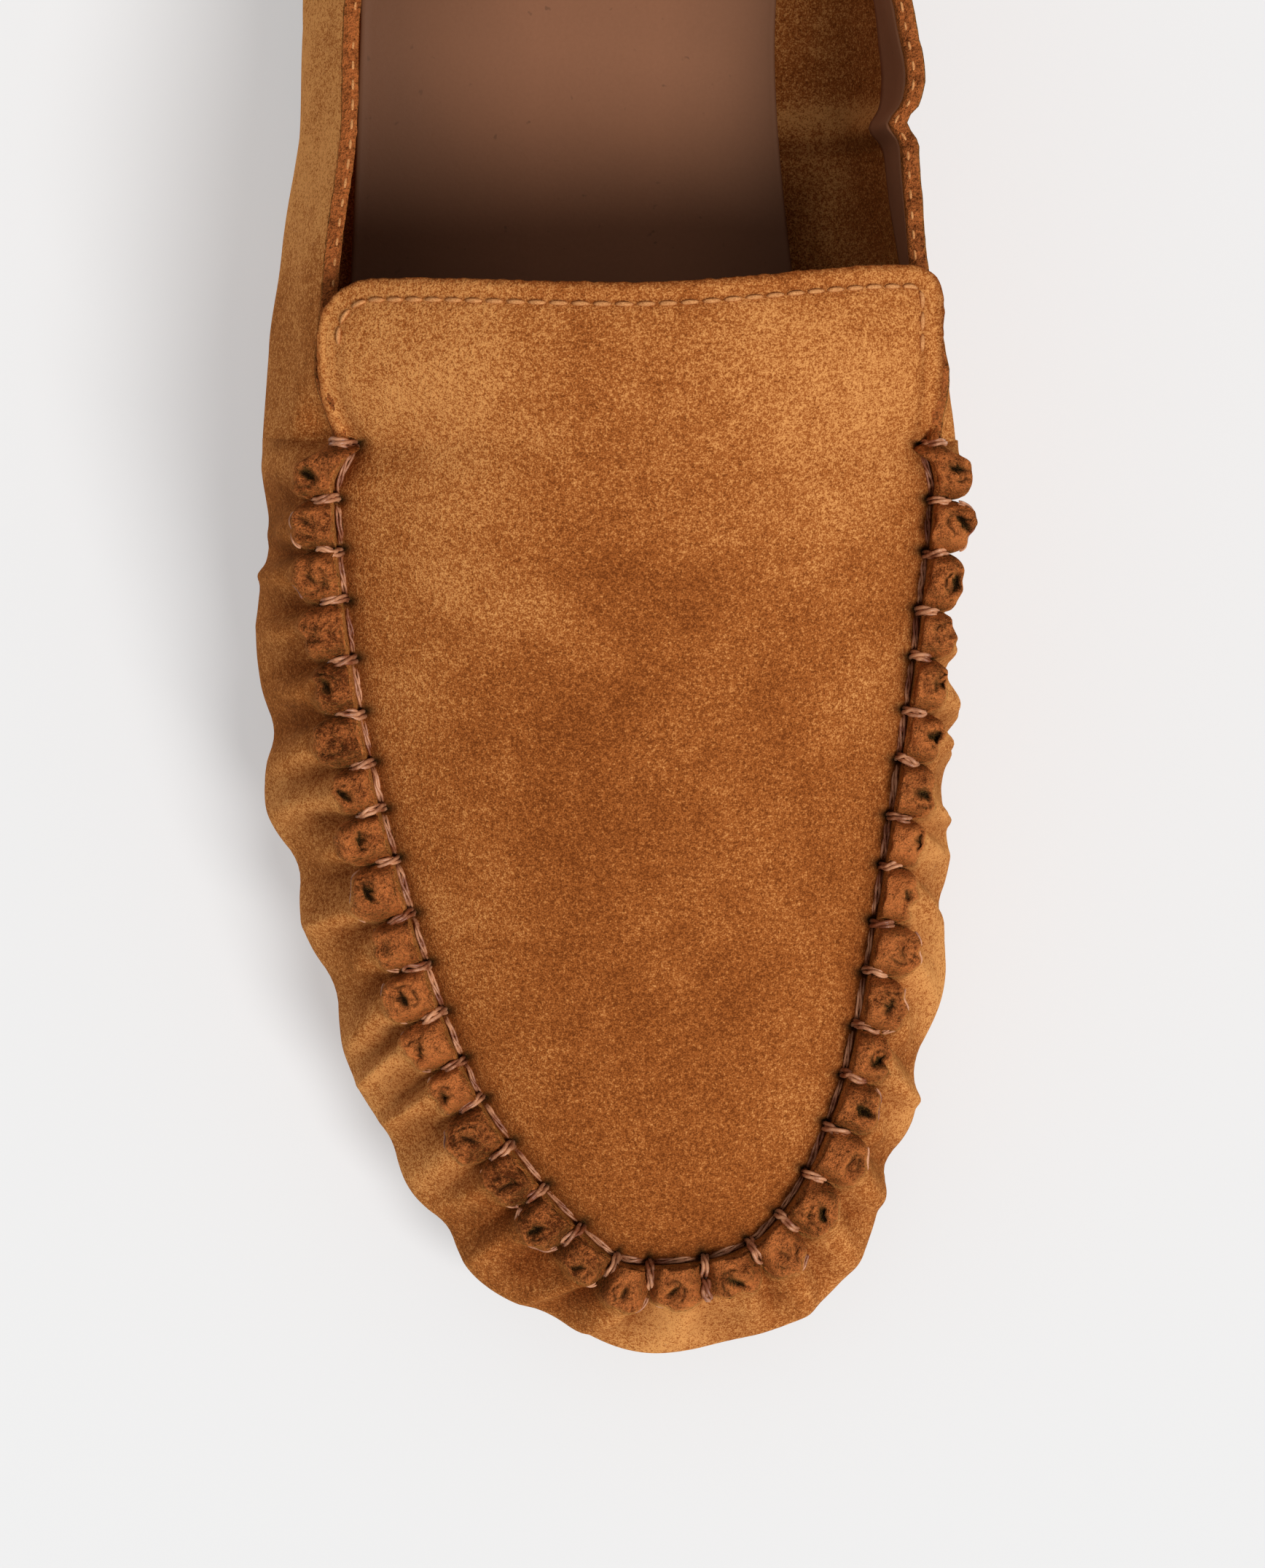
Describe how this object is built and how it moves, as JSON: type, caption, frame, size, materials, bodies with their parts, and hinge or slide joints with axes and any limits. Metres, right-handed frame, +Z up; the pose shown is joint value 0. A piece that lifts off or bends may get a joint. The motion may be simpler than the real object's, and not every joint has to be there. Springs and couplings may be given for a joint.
{
  "type": "moccasin",
  "caption": "Low-cut slip-on suede moccasin for a right foot, with a gathered hand-sewn apron, a short free tongue, a thin sole and a low heel.",
  "frame": {"origin": "on the ground, under the middle of the shoe's bounding box", "axes": "-Y towards the toe, +Y towards the heel, +X towards the medial (big toe) side of a right foot, +Z up"},
  "size_m": [0.0927, 0.2547, 0.0706],
  "materials": {
    "suede": "tan suede, short brushed nap, raw cut edges",
    "lining_leather": "smooth, pinkish brown",
    "thread": "waxed two-ply thread",
    "sole": "dark brown, matte, fine tread grain",
    "stacked_leather": "burnished stacked layers",
    "steel": "plain spring steel",
    "fibre_board": "matte cellulose board",
    "foam": "open-cell foam"
  },
  "bodies": {
    "shoe": {"moccasin_wrap": "suede", "apron": "suede", "backstay": "suede", "apron_lining": "lining_leather", "collar_lining_lateral": "lining_leather", "collar_lining_medial": "lining_leather", "heel_lining": "lining_leather", "sock_lining": "lining_leather", "apron_thread": "thread", "topline_thread": "thread", "backstay_thread": "thread", "outsole": "sole", "heel_top_piece": "sole", "heel_lift": "stacked_leather", "shank": "steel", "insole_board": "fibre_board", "heel_counter": "fibre_board", "forepart_foam": "foam", "heel_foam": "foam"},
    "tongue": {"tongue_flap": "suede", "tongue_lining": "lining_leather", "tongue_thread": "thread"}
  },
  "joints": [
    {"name": "tongue_lift", "type": "hinge", "parent": "shoe", "child": "tongue", "pos_m": [0, -0.0097, 0.0656], "axis": [1, 0, 0], "range_deg": [0, 50], "stiffness_Nm_per_rad": 0.02}
  ]
}
